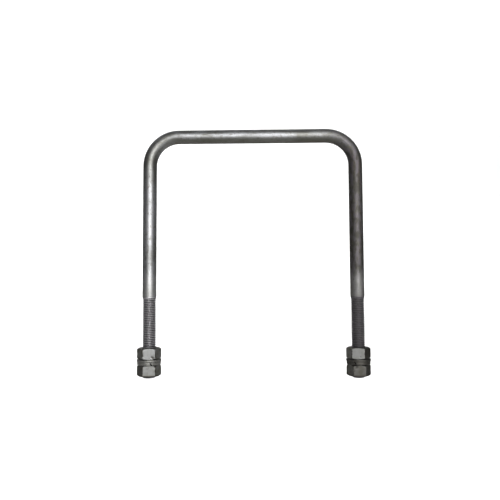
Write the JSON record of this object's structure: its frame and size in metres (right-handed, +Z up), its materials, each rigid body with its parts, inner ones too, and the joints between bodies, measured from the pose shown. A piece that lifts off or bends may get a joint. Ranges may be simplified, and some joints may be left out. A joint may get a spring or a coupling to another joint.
{
  "type": "square u-bolt",
  "caption": "Square-bend U-bolt of round bar with threaded legs, each carrying clamping nuts with a flat washer and a spring washer between them.",
  "frame": {"origin": "midway between the two legs' axes, on the plane of the legs' ends", "axes": "+Z up from the legs' ends to the bar, X along the bar, Y across the bolt's plane with the front towards -Y"},
  "size_m": [0.266, 0.028, 0.285],
  "materials": {
    "bar_steel": "dull bare steel with mill scale, handling marks and rust specks",
    "nut_steel": "worn bare steel, bright on the flats and dark in the corners",
    "washer_steel": "dull stamped steel with a brighter rim",
    "spring_steel": "dark oiled spring steel"
  },
  "bodies": {
    "bolt": {"u_rod": "bar_steel"},
    "left_flat_washer": {"left_flat_washer": "washer_steel"},
    "left_upper_nut": {"left_upper_nut": "nut_steel"},
    "left_spring_washer": {"left_spring_washer": "spring_steel"},
    "left_lower_nut": {"left_lower_nut": "nut_steel"},
    "right_flat_washer": {"right_flat_washer": "washer_steel"},
    "right_upper_nut": {"right_upper_nut": "nut_steel"},
    "right_spring_washer": {"right_spring_washer": "spring_steel"},
    "right_lower_nut": {"right_lower_nut": "nut_steel"}
  },
  "joints": [
    {"name": "left_flat_washer_slide", "type": "slide", "parent": "bolt", "child": "left_flat_washer", "axis": [0, 0, 1], "range_m": [0, 0.0521]},
    {"name": "left_upper_nut_turn", "type": "hinge", "parent": "left_flat_washer", "child": "left_upper_nut", "pos_m": [-0.119, 0, 0.02759], "axis": [0, 0, 1], "range_deg": [0, 9360]},
    {"name": "left_spring_washer_slide", "type": "slide", "parent": "bolt", "child": "left_spring_washer", "axis": [0, 0, 1], "range_m": [-0.0101, 0]},
    {"name": "left_lower_nut_turn", "type": "hinge", "parent": "left_spring_washer", "child": "left_lower_nut", "pos_m": [-0.119, 0, 0.0085], "axis": [0, 0, 1], "range_deg": [-1800, 0]},
    {"name": "right_flat_washer_slide", "type": "slide", "parent": "bolt", "child": "right_flat_washer", "axis": [0, 0, 1], "range_m": [0, 0.0521]},
    {"name": "right_upper_nut_turn", "type": "hinge", "parent": "right_flat_washer", "child": "right_upper_nut", "pos_m": [0.119, 0, 0.02759], "axis": [0, 0, 1], "range_deg": [0, 9360]},
    {"name": "right_spring_washer_slide", "type": "slide", "parent": "bolt", "child": "right_spring_washer", "axis": [0, 0, 1], "range_m": [-0.0101, 0]},
    {"name": "right_lower_nut_turn", "type": "hinge", "parent": "right_spring_washer", "child": "right_lower_nut", "pos_m": [0.119, 0, 0.0085], "axis": [0, 0, 1], "range_deg": [-1800, 0]}
  ],
  "couplings": [
    {"joint": "left_flat_washer_slide", "follows": "left_upper_nut_turn", "m_per_rad": 0.00031831},
    {"joint": "left_spring_washer_slide", "follows": "left_lower_nut_turn", "m_per_rad": 0.00031831},
    {"joint": "right_flat_washer_slide", "follows": "right_upper_nut_turn", "m_per_rad": 0.00031831},
    {"joint": "right_spring_washer_slide", "follows": "right_lower_nut_turn", "m_per_rad": 0.00031831}
  ]
}
